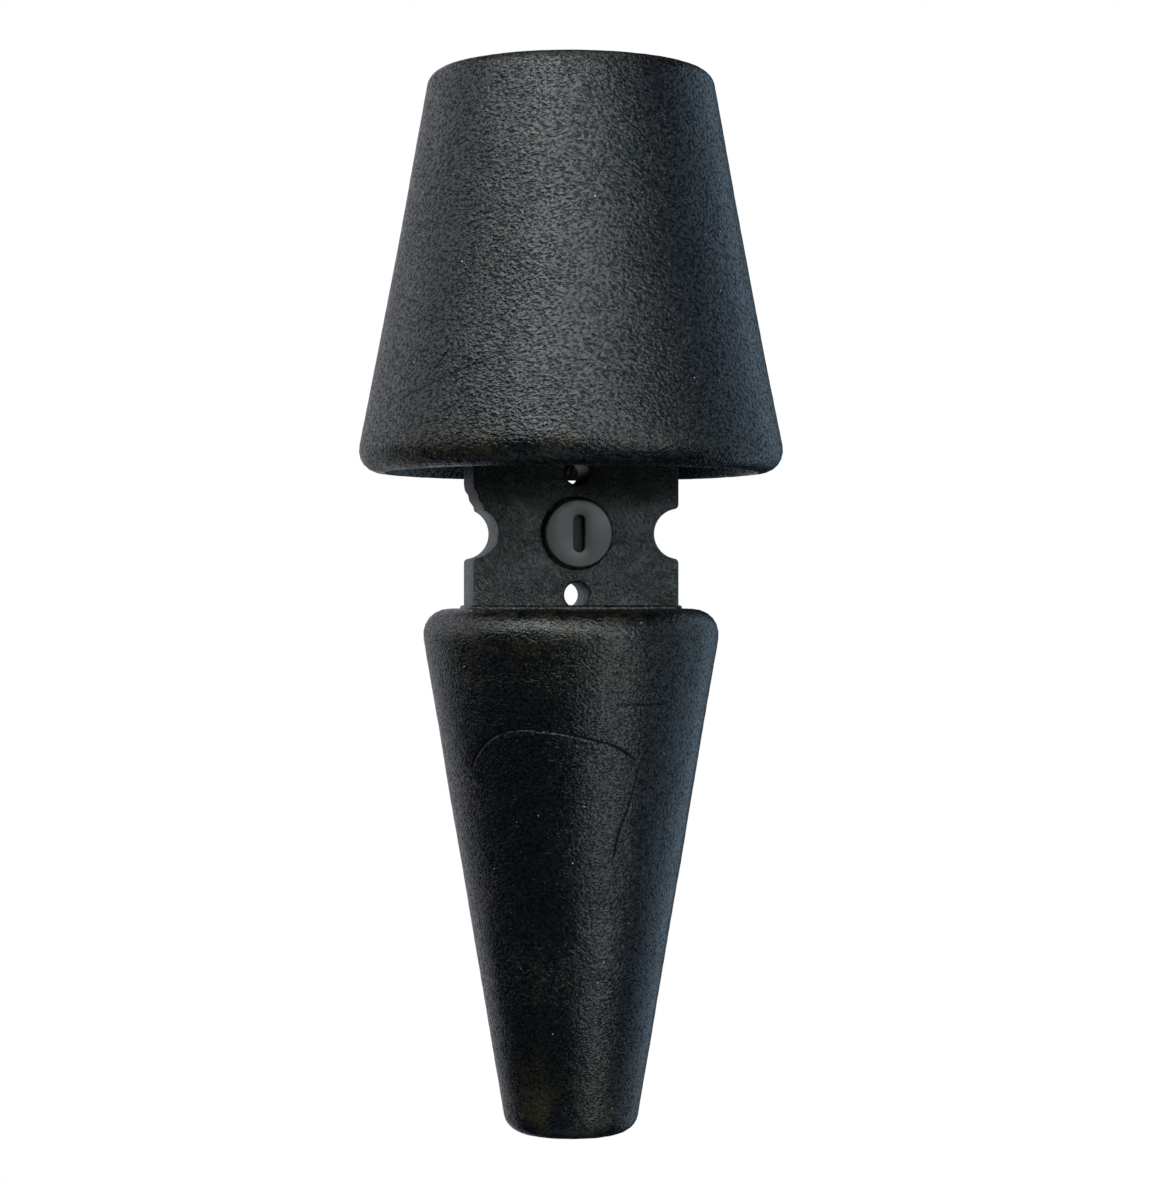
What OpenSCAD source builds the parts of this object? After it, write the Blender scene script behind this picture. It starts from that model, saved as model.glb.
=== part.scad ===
// Stake drip emitter with a bell cover.
// Millimetres. Z runs up the axis from the tip of the stake, which is at the origin,
// X runs across the flat neck, and the head of the flow plug faces -Y.

/* [Stake] */
// Height of the rubber stake
stake_h = 52.2; // [44:0.1:63]
// Radius of the stake's tip, before its edge is rounded
stake_tip_r = 6.5; // [5.4:0.1:7.8]
// Radius of the stake's top, before its edge is rounded
stake_top_r = 15.3; // [14.6:0.1:18.4]
// Edge radius at the tip
stake_tip_round = 1.9; // [0.8:0.1:2.4]
// Edge radius at the top
stake_top_round = 2.7; // [1:0.1:3.3]
// Least rubber over the skeleton inside the stake
skin_t = 2.6; // [2.2:0.1:3.1]

/* [Bell cover] */
// Height of the bell
bell_h = 40; // [36:0.1:48]
// Radius of the rim, before its edge is rounded
bell_rim_r = 21.7; // [20.4:0.1:26]
// Radius of the flat top, before its edge is rounded
bell_top_r = 14.2; // [13:0.1:17]
// Edge radius at the rim
bell_rim_round = 2.4; // [1.2:0.1:2.8]
// Edge radius at the top
bell_top_round = 1.6; // [0.8:0.1:3]
// Wall of the bell
bell_wall = 3.2; // [2.7:0.1:3.8]

/* [Neck plate] */
// Gap between the stake's top and the bell's rim
neck_h = 13.4; // [12.4:0.1:16]
// Width of the plate
plate_w = 20.8; // [19:0.1:22]
// Thickness of the plate
plate_t = 6; // [5.2:0.1:7.2]
// Height of the plate above the bell's rim
plate_rise = 10; // [8.6:0.1:12]
// Height of the flow plug's axis above the stake's top
plug_h = 7.4; // [7:0.1:8.4]
// Radius of the tube notches in both edges
notch_r = 2.5; // [2.1:0.1:3]
// Radius of the tie holes
tie_hole_r = 1.25; // [1:0.05:1.5]

/* [Flow plug] */
// Radius of the round head
head_r = 3.35; // [3.1:0.05:3.9]
// Height of the head above the plate's face
head_proud = 1; // [0.8:0.1:1.4]
// Depth of the head's seat in the plate
head_sink = 0.6; // [0.5:0.1:0.8]
// Radius of the shank
plug_r = 2.25; // [1.85:0.05:2.35]
// Length of the driver slot
slot_l = 3.6; // [2.8:0.1:4.4]
// Width of the driver slot
slot_w = 1.1; // [0.8:0.1:1.4]
// Depth of the driver slot
slot_d = 0.8; // [0.5:0.1:1]
// Quarter turn between the stops, in degrees
plug_turn = 90; // [60:5:90]

/* [Cartridge] */
// Outer radius of the cartridge
cartridge_r = 12; // [11.4:0.1:14.4]
// Wall of the cartridge
cartridge_wall = 1.6; // [1.3:0.1:1.9]
// Outer radius of the inlet nipple
nipple_r = 1.6; // [1.4:0.05:1.9]
// Length of the inlet nipple
nipple_l = 8; // [6.7:0.1:9]
// Radius of the waterways
waterway_r = 0.6; // [0.5:0.05:0.75]
// Thickness of the labyrinth disc
labyrinth_t = 2.8; // [2.4:0.1:3.3]
// Thickness of the silicone diaphragm
diaphragm_t = 1; // [0.8:0.1:1.2]
// Free travel of the diaphragm
diaphragm_float = 0.4; // [0.2:0.1:0.6]
// Radius of the spigot that carries the bell
spigot_r = 4; // [3.4:0.1:4.8]
// Length of the spigot
spigot_l = 9.5; // [8:0.1:11]
// Teeth in the labyrinth, a multiple of four
tooth_count = 28; // [20:4:36]

/* [Fits] */
// Radial gap round the turning plug
running_gap = 0.05; // [0.03:0.01:0.08]
// Gap between pieces that slide or drop together
slide_gap = 0.1; // [0.08:0.01:0.15]

/* [Hidden] */
$fn = 96;
// How far a union reaches into its neighbour, and how far a cut runs past a face
eps = 0.01;
over = 1;

// Levels, from the tip of the stake upwards
plug_z = stake_h + plug_h;
rim_z = stake_h + neck_h;
bell_top_z = rim_z + bell_h;
seat_z = rim_z + plate_rise;
floor_t = 1.8;
floor_z = seat_z + floor_t;
diaphragm_z = floor_z + labyrinth_t;
lid_z = diaphragm_z + diaphragm_t + diaphragm_float + slide_gap / 2;
lid_plug_h = 1.95;
joint_z = lid_z + lid_plug_h;
lid_t = 1.8;
shoulder_z = joint_z + lid_t;

// Tie holes, and the same pattern carried down the skeleton as keys for the rubber
tie_clear = 0.05;
tie_offset = plug_h - tie_hole_r - tie_clear;
key_pitch = 2 * tie_offset;
skeleton_foot = 8;
key_rows = floor((plug_z - tie_offset - tie_hole_r - skeleton_foot) / key_pitch);

// Skeleton width inside the stake
function stake_r(z) = stake_tip_r + (stake_top_r - stake_tip_r) * z / stake_h;
function skeleton_half(z) = min(plate_w / 2, sqrt(pow(stake_r(z) - skin_t, 2) - pow(plate_t / 2, 2)));
full_width_r = skin_t + norm([plate_w / 2, plate_t / 2]);
full_width_z = (full_width_r - stake_tip_r) / (stake_top_r - stake_tip_r) * stake_h;

// Flow plug
plug_bore_r = plug_r + running_gap;
seat_gap = 0.15;
plug_tail = 1.4;
clip_t = 0.6;
clip_gap = 0.08;
clip_play = 0.03;
clip_r = plug_r + 1.05;
clip_groove = 0.55;
plug_seal_cs = 0.36;
plug_seal_y = plate_t / 2 - 1.45;
seal_gap = 0.02;
seal_play = 0.05;
stop_r = (plug_bore_r + head_r) / 2;
stop_peg_r = 0.35;
stop_peg_h = 0.35;
stop_peg_root = 0.2;
stop_angle = 225;
stop_half = asin((stop_peg_r + running_gap) / stop_r);

// Waterway that leads down the plate from the cartridge
feed_wall = 0.5;
feed_x = plug_bore_r + feed_wall + waterway_r;
outlet_spigot_r = waterway_r + 0.6;
outlet_spigot_l = 1.5;
outlet_seat_r = outlet_spigot_r + 0.75;
outlet_seal_cs = (outlet_seat_r - outlet_spigot_r) / 2 - seal_gap;

// Saddle that grips the top of the plate
cheek_t = 2;
cheek_h = 6;
cheek_w = plate_w - 2.8;
screw_edge = 2.2;
screw_x = cheek_w / 2 - screw_edge;
screw_drop = 3.4;
screw_r = 0.85;
screw_head_r = 1.7;
screw_head_h = 1.1;
screw_dome_r = 2.2;
screw_tip_h = 0.8;
screw_recess_w = 0.5;
screw_recess_l = 2;
screw_recess_d = 0.6;

// Cartridge
dish_r = cartridge_r - cartridge_wall;
nipple_bore_r = nipple_r - 0.7;
nipple_lead = 0.35;
nipple_collar = 0.7;
strainer_r = 1.45;
strainer_wall = 0.35;
riser_wall = 0.45;
nipple_y = dish_r - riser_wall - strainer_r;
slit_w = 0.3;
slit_count = 8;
mesh_pitch = 0.6;
mesh_hole_r = 0.15;
lid_seal_cs = 0.45;
lid_plug_r = dish_r - slide_gap;
diaphragm_r = dish_r - 0.7;
lid_hollow_h = 1;
core_wall = 1;
spigot_lead = 0.6;
track_w = 1.9;
riser_lap = 0.65;
track_r = nipple_y - strainer_r + riser_lap - track_w;
track_d = 0.8;
track_port = 0.3;
port_w = 1;
tooth_t = 0.5;
tooth_reach = track_w * 0.62;
return_d = 0.7;
well_r = 2.2;
grip_cs = 0.5;
grip_z = shoulder_z + spigot_l * 0.6;

// Bell
roof_t = 5.6;
hub_wall = 1.9;
hub_bore_r = spigot_r + slide_gap;
hub_r = hub_bore_r + hub_wall;
flange_r = hub_r + 2.6;
flange_t = 1.6;
flange_cover = 2.4;
hub_lead = 0.5;
hub_end_gap = 0.6;
flange_z = bell_top_z - flange_cover - flange_t;
wall_slope = (bell_rim_r - bell_top_r) / bell_h;
rib_count = 6;
rib_t = 1.2;
rib_h = 5;
rib_foot = 3;
rib_reach = 10;

// ---- shared shapes ----

// Half profile of a frustum with both outer corners rounded. r0 and f0 are the lower
// radius and its rounding, r1 and f1 the upper ones.
module frustum_profile(h, r0, r1, f0, f1) {
    lean = atan((r0 - r1) / h);
    t0 = f0 / tan((90 - lean) / 2);
    t1 = f1 / tan((90 + lean) / 2);
    polygon([
        [0, 0],
        [r0 - t0, 0],
        [r0 - t0 * sin(lean), t0 * cos(lean)],
        [r1 + t1 * sin(lean), h - t1 * cos(lean)],
        [r1 - t1, h],
        [0, h]
    ]);
    translate([r0 - t0, f0]) circle(r = f0);
    translate([r1 - t1, h - f1]) circle(r = f1);
}

module rounded_frustum(h, r0, r1, f0, f1) {
    rotate_extrude() frustum_profile(h, r0, r1, f0, f1);
}

// O-ring whose outside touches radius outer, less the seal gap
module seal_ring(outer, cs) {
    rotate_extrude() translate([outer - cs - seal_gap, 0]) circle(r = cs, $fn = 32);
}

// Groove for such a ring in a shaft, with its floor at radius floor_r
module ring_groove(floor_r, cs) {
    rotate_extrude() translate([floor_r, -cs - seal_play]) square([2 * cs + over, 2 * (cs + seal_play)]);
}

// Turns local Z towards -Y, so local X and Y are the front view's X and Z
module facing_front() {
    rotate([90, 0, 0]) children();
}

module at_plug_axis() {
    translate([0, 0, plug_z]) facing_front() children();
}

// ---- stake and core frame ----

module plate_outline() {
    polygon([
        [-skeleton_half(skeleton_foot), skeleton_foot],
        [skeleton_half(skeleton_foot), skeleton_foot],
        [plate_w / 2, full_width_z],
        [plate_w / 2, seat_z],
        [-plate_w / 2, seat_z],
        [-plate_w / 2, full_width_z]
    ]);
}

module plate_cut(x, z, r) {
    translate([x, 0, z]) facing_front() cylinder(r = r, h = plate_t + 2 * over, center = true);
}

// The rubber flows through these holes and notches and locks the stake to the frame
module key_cuts() {
    for (row = [1 : key_rows]) {
        hole_z = plug_z - tie_offset - row * key_pitch;
        notch_z = hole_z + key_pitch / 2;
        plate_cut(0, hole_z, tie_hole_r);
        for (side = [-1, 1]) plate_cut(side * skeleton_half(notch_z), notch_z, notch_r);
    }
}

module plate_waterways() {
    translate([-feed_x, 0, plug_z]) cylinder(r = waterway_r, h = seat_z - plug_z + eps);
    translate([-feed_x, 0, seat_z - outlet_spigot_l - eps])
        cylinder(r = outlet_seat_r, h = outlet_spigot_l + over);
    translate([-feed_x, 0, plug_z]) rotate([0, 90, 0])
        cylinder(r = waterway_r, h = feed_x + plate_w / 2);
}

module core_frame() {
    color("#1b1c1e") {
        difference() {
            translate([0, plate_t / 2, 0]) facing_front() linear_extrude(plate_t) plate_outline();
            for (side = [-1, 1]) {
                plate_cut(side * plate_w / 2, plug_z, notch_r);
                plate_cut(0, plug_z + side * tie_offset, tie_hole_r);
                plate_cut(side * screw_x, seat_z - screw_drop, screw_r + running_gap);
            }
            key_cuts();
            plate_waterways();
            at_plug_axis() {
                cylinder(r = plug_bore_r, h = plate_t + 2 * over, center = true);
                translate([0, 0, plate_t / 2 - head_sink])
                    cylinder(r = head_r + seat_gap, h = head_sink + over);
            }
        }
        at_plug_axis() rotate(stop_angle)
            translate([stop_r, 0, plate_t / 2 - head_sink - stop_peg_root])
                cylinder(r = stop_peg_r, h = stop_peg_h + stop_peg_root, $fn = 32);
    }
}

// Outer shape of the frame where the rubber wraps it
module frame_core() {
    difference() {
        translate([0, plate_t / 2, 0]) facing_front() linear_extrude(plate_t) plate_outline();
        key_cuts();
    }
}

module stake_cone() {
    color("#17181a") difference() {
        rounded_frustum(stake_h, stake_tip_r, stake_top_r, stake_tip_round, stake_top_round);
        frame_core();
    }
}

// ---- cartridge ----

module saddle_cheek(side) {
    inner = plate_t / 2 + slide_gap;
    difference() {
        translate([-cheek_w / 2, side > 0 ? inner : -inner - cheek_t, seat_z - cheek_h])
            cube([cheek_w, cheek_t, cheek_h + floor_t / 2]);
        for (x = [-screw_x, screw_x])
            translate([x, side * (inner + cheek_t / 2), seat_z - screw_drop]) facing_front()
                cylinder(r = screw_r + running_gap, h = cheek_t + 2 * over, center = true);
    }
}

// Inlet for the feed tube: lead-in at the end, tube's stop collar at the root
module nipple() {
    translate([0, nipple_y, seat_z - nipple_l]) {
        cylinder(r1 = nipple_r - nipple_lead, r2 = nipple_r, h = nipple_lead * 2);
        translate([0, 0, nipple_lead * 2]) cylinder(r = nipple_r, h = nipple_l - nipple_lead * 2 + eps);
    }
    translate([0, nipple_y, seat_z - nipple_collar])
        cylinder(r = nipple_r + nipple_collar, h = nipple_collar + eps);
}

module cartridge_base() {
    color("#2b2d30") difference() {
        union() {
            translate([0, 0, seat_z]) cylinder(r = cartridge_r, h = joint_z - seat_z);
            for (side = [-1, 1]) saddle_cheek(side);
            nipple();
            translate([-feed_x, 0, seat_z - outlet_spigot_l])
                cylinder(r = outlet_spigot_r, h = outlet_spigot_l + eps);
        }
        translate([0, 0, floor_z]) cylinder(r = dish_r, h = joint_z - floor_z + over);
        translate([0, nipple_y, seat_z - nipple_l - over])
            cylinder(r = nipple_bore_r, h = nipple_l + floor_t + 2 * over);
        translate([-feed_x, 0, seat_z - outlet_spigot_l - over])
            cylinder(r = waterway_r, h = outlet_spigot_l + floor_t + 2 * over);
    }
}

// Small basket that stands in the riser of the labyrinth disc
module inlet_strainer() {
    color("#d9d6cc") translate([0, nipple_y, floor_z]) difference() {
        cylinder(r = strainer_r, h = labyrinth_t);
        translate([0, 0, -eps]) cylinder(r = strainer_r - strainer_wall, h = labyrinth_t - strainer_wall);
        for (i = [0 : slit_count / 2 - 1])
            rotate(i * 360 / slit_count)
                translate([-strainer_r - over, -slit_w / 2, strainer_wall])
                    cube([2 * (strainer_r + over), slit_w, labyrinth_t - 3 * strainer_wall]);
        for (x = [-1 : 1], y = [-1 : 1])
            translate([x * mesh_pitch, y * mesh_pitch, labyrinth_t / 2])
                cylinder(r = mesh_hole_r, h = labyrinth_t, $fn = 24);
    }
}

// Zigzag track: teeth reach in from both walls of a ring groove in turn, clear of both ports
module labyrinth_track() {
    difference() {
        rotate_extrude() translate([track_r, 0]) square([track_w, track_d + over]);
        for (i = [0 : tooth_count - 1]) {
            start = i % 2 == 0 ? track_r - track_port : track_r + track_w - tooth_reach;
            rotate((i + 0.5) * 360 / tooth_count)
                translate([start, -tooth_t / 2, -over])
                    cube([tooth_reach + track_port, tooth_t, track_d + 3 * over]);
        }
    }
}

module labyrinth_disc() {
    riser_r = strainer_r + slide_gap / 2;
    color("#3c6b4a") translate([0, 0, floor_z]) difference() {
        cylinder(r = dish_r - slide_gap / 2, h = labyrinth_t);
        translate([0, nipple_y, -over]) cylinder(r = riser_r, h = labyrinth_t + 2 * over);
        translate([0, 0, labyrinth_t - track_d]) labyrinth_track();
        // The riser opens into the track, and the track's far side into the well
        translate([-port_w / 2, -track_r - track_port, labyrinth_t - track_d])
            cube([port_w, track_r, track_d + over]);
        translate([0, 0, labyrinth_t - track_d]) cylinder(r = well_r, h = track_d + over);
        translate([0, 0, -over]) cylinder(r = waterway_r, h = labyrinth_t + 2 * over);
        // Return duct along the dish's floor to the outlet
        translate([-feed_x - waterway_r, -waterway_r, -over])
            cube([feed_x + waterway_r, 2 * waterway_r, return_d + over]);
    }
}

module diaphragm() {
    color("#c9c2b2") translate([0, 0, diaphragm_z]) difference() {
        cylinder(r = diaphragm_r, h = diaphragm_t);
        translate([0, nipple_y, -over]) cylinder(r = strainer_r, h = diaphragm_t + 2 * over);
    }
}

module cartridge_cover() {
    color("#2b2d30") difference() {
        union() {
            translate([0, 0, lid_z]) cylinder(r = lid_plug_r, h = lid_plug_h + eps);
            translate([0, 0, joint_z]) cylinder(r = cartridge_r, h = lid_t);
            translate([0, 0, shoulder_z - eps]) cylinder(r = spigot_r, h = spigot_l - spigot_lead + eps);
            translate([0, 0, shoulder_z + spigot_l - spigot_lead])
                cylinder(r1 = spigot_r, r2 = spigot_r - spigot_lead, h = spigot_lead);
        }
        translate([0, 0, lid_z + lid_plug_h / 2])
            ring_groove(dish_r - 2 * (lid_seal_cs + seal_gap), lid_seal_cs);
        translate([0, 0, grip_z]) ring_groove(hub_bore_r - 2 * (grip_cs + seal_gap), grip_cs);
        // The spigot is cored out so that its wall stays even
        translate([0, 0, joint_z])
            cylinder(r = spigot_r - 2 * grip_cs - core_wall, h = spigot_l + lid_t + over);
        // Room over the middle of the diaphragm
        translate([0, 0, lid_z - eps]) cylinder(r = spigot_r, h = lid_hollow_h);
    }
}

module cover_seal() {
    color("#101112") translate([0, 0, lid_z + lid_plug_h / 2])
        seal_ring(dish_r, lid_seal_cs);
}

module outlet_seal() {
    color("#101112") translate([-feed_x, 0, seat_z - outlet_spigot_l / 2])
        seal_ring(outlet_seat_r, outlet_seal_cs);
}

module grip_ring() {
    color("#101112") translate([0, 0, grip_z]) seal_ring(hub_bore_r, grip_cs);
}

// Two pan-head screws that hold the saddle to the plate, driven in from the back
module saddle_screws() {
    outer = plate_t / 2 + slide_gap + cheek_t;
    shank_l = 2 * outer - screw_tip_h;
    color("#9a9da1") for (x = [-screw_x, screw_x])
        translate([x, outer, seat_z - screw_drop]) rotate([-90, 0, 0]) difference() {
            union() {
                translate([0, 0, -shank_l]) cylinder(r = screw_r, h = shank_l + eps);
                translate([0, 0, -shank_l - screw_tip_h])
                    cylinder(r1 = screw_r / 2, r2 = screw_r, h = screw_tip_h);
                intersection() {
                    cylinder(r = screw_head_r, h = screw_head_h);
                    translate([0, 0, screw_head_h - screw_dome_r]) sphere(r = screw_dome_r);
                }
            }
            for (turn = [0, 90])
                translate([0, 0, screw_head_h - screw_recess_d]) rotate(turn)
                    translate([-screw_recess_l / 2, -screw_recess_w / 2, 0])
                        cube([screw_recess_l, screw_recess_w, screw_recess_d + over]);
        }
}

// ---- bell ----

module bell_hub() {
    color("#26282b") difference() {
        union() {
            translate([0, 0, shoulder_z]) cylinder(r = hub_r, h = flange_z - shoulder_z + eps);
            translate([0, 0, flange_z]) cylinder(r = flange_r, h = flange_t);
        }
        translate([0, 0, shoulder_z - over]) cylinder(r = hub_bore_r, h = over + spigot_l + hub_end_gap);
        translate([0, 0, shoulder_z - eps])
            cylinder(r1 = hub_bore_r + hub_lead, r2 = hub_bore_r, h = hub_lead);
    }
}

module bell_shell() {
    translate([0, 0, rim_z]) difference() {
        rounded_frustum(bell_h, bell_rim_r, bell_top_r, bell_rim_round, bell_top_round);
        difference() {
            rotate_extrude() polygon([
                [0, -over],
                [bell_rim_r - bell_wall + wall_slope * over, -over],
                [bell_top_r - bell_wall + wall_slope * roof_t, bell_h - roof_t],
                [0, bell_h - roof_t]
            ]);
            // Ribs that brace the hub against the roof and the wall
            for (i = [0 : rib_count - 1])
                rotate(90 + i * 360 / rib_count)
                    translate([hub_r - over, rib_t / 2, bell_h - roof_t]) facing_front()
                        linear_extrude(rib_t) polygon([
                            [0, -rib_h],
                            [rib_foot, -rib_h],
                            [rib_reach, over],
                            [0, over]
                        ]);
        }
    }
}

module bell_cap() {
    color("#17181a") difference() {
        bell_shell();
        translate([0, 0, shoulder_z]) cylinder(r = hub_r, h = flange_z - shoulder_z + eps);
        translate([0, 0, flange_z]) cylinder(r = flange_r, h = flange_t);
    }
}

// ---- flow plug ----

module flow_plug() {
    tail_z = -plate_t / 2 - plug_tail;
    color("#232527") at_plug_axis() difference() {
        union() {
            translate([0, 0, plate_t / 2 - head_sink]) cylinder(r = head_r, h = head_sink + head_proud);
            translate([0, 0, tail_z]) cylinder(r = plug_r, h = plate_t + plug_tail - head_sink + eps);
        }
        // Driver slot
        for (side = [-1, 1])
            translate([0, side * (slot_l - slot_w) / 2, plate_t / 2 + head_proud - slot_d])
                cylinder(r = slot_w / 2, h = slot_d + over, $fn = 48);
        translate([-slot_w / 2, -(slot_l - slot_w) / 2, plate_t / 2 + head_proud - slot_d])
            cube([slot_w, slot_l - slot_w, slot_d + over]);
        // Cross port, in line with the driver slot
        rotate([90, 0, 0]) cylinder(r = waterway_r, h = 4 * plug_r, center = true);
        for (side = [-1, 1])
            translate([0, 0, side * plug_seal_y])
                ring_groove(plug_bore_r - 2 * (plug_seal_cs + seal_gap), plug_seal_cs);
        // Groove for the clip
        translate([0, 0, -plate_t / 2 - clip_gap - clip_t - clip_play]) rotate_extrude()
            translate([plug_r - clip_groove, 0]) square([clip_groove + over, clip_t + 2 * clip_play]);
        // Arc under the head that runs over the stop peg
        translate([0, 0, plate_t / 2 - head_sink - eps])
            rotate(stop_angle - plug_turn - stop_half) rotate_extrude(angle = plug_turn + 2 * stop_half)
                translate([stop_r - stop_peg_r - running_gap, 0])
                    square([head_r, stop_peg_h + running_gap + eps]);
    }
}

module plug_seals() {
    color("#101112") at_plug_axis() for (side = [-1, 1])
        translate([0, 0, side * plug_seal_y]) seal_ring(plug_bore_r, plug_seal_cs);
}

// Snap ring on the tail of the plug
module plug_clip() {
    inner_r = plug_r - clip_groove + clip_play;
    mouth_w = 1.7 * inner_r;
    color("#8f9296") at_plug_axis() translate([0, 0, -plate_t / 2 - clip_gap - clip_t]) difference() {
        cylinder(r = clip_r, h = clip_t);
        translate([0, 0, -over]) cylinder(r = inner_r, h = clip_t + 2 * over);
        translate([-mouth_w / 2, -clip_r - over, -over]) cube([mouth_w, clip_r + over, clip_t + 2 * over]);
    }
}

stake_cone();
core_frame();
cartridge_base();
inlet_strainer();
labyrinth_disc();
cartridge_cover();
cover_seal();
outlet_seal();
saddle_screws();
grip_ring();
diaphragm();
bell_cap();
bell_hub();
flow_plug();
plug_seals();
plug_clip();
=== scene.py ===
"""Stake drip emitter: finished meshes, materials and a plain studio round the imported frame.

Sizes are in millimetres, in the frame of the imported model: Z runs up from the tip of the
stake, X across the neck plate, and the flow plug's head faces -Y.
"""

import logging
import math
from dataclasses import dataclass, field
from enum import Enum
from typing import Callable, Iterable, Sequence, Union

import bmesh
import bpy
from mathutils import Matrix, Vector, kdtree, noise


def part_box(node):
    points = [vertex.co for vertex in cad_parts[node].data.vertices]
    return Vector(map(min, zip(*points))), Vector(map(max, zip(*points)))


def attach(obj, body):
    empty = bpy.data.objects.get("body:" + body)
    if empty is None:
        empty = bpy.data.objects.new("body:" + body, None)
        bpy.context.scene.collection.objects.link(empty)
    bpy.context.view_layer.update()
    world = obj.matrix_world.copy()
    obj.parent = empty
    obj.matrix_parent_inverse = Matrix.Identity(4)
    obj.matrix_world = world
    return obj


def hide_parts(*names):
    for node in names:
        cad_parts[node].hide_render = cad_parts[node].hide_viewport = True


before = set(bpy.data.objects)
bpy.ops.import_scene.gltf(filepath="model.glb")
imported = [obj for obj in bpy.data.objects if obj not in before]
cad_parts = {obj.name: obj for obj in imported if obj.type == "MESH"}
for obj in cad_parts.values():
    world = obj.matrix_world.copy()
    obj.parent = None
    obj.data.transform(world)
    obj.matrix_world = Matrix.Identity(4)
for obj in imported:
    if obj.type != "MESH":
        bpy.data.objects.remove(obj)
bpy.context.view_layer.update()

MM = 0.001
FRONT = Vector((0.0, -1.0, 0.0))
UP = Vector((0.0, 0.0, 1.0))

Vert, Edge, Face = bmesh.types.BMVert, bmesh.types.BMEdge, bmesh.types.BMFace
Piece, Material = bpy.types.Object, bpy.types.Material

log = logging.getLogger("drip_emitter")


# ---------------------------------------------------------------- shader maths


class Sock:
    """An output socket, with the arithmetic that the finishes' expressions use."""

    def __init__(self, shader: "Shader", socket: bpy.types.NodeSocket) -> None:
        """Keeps the socket and the shader that it belongs to."""
        self.shader = shader
        self.socket = socket

    def _math(self, operation: str, first: "Term", second: "Term") -> "Sock":
        """Adds one Math node.

        Args:
            operation: the Math node's operation.
            first: its first operand.
            second: its second operand.

        Returns:
            The node's result.
        """
        return self.shader.add("ShaderNodeMath", {"operation": operation}, {0: first, 1: second})

    def __add__(self, other: "Term") -> "Sock":
        """self + other."""
        return self._math("ADD", self, other)

    __radd__ = __add__

    def __sub__(self, other: "Term") -> "Sock":
        """self - other."""
        return self._math("SUBTRACT", self, other)

    def __mul__(self, other: "Term") -> "Sock":
        """self * other."""
        return self._math("MULTIPLY", self, other)

    __rmul__ = __mul__

    def __abs__(self) -> "Sock":
        """abs(self)."""
        return self._math("ABSOLUTE", self, 0.0)

    def most(self, other: "Term") -> "Sock":
        """The larger of self and other."""
        return self._math("MAXIMUM", self, other)


Term = Union[Sock, float, int]
Colour = tuple[float, float, float]


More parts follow.
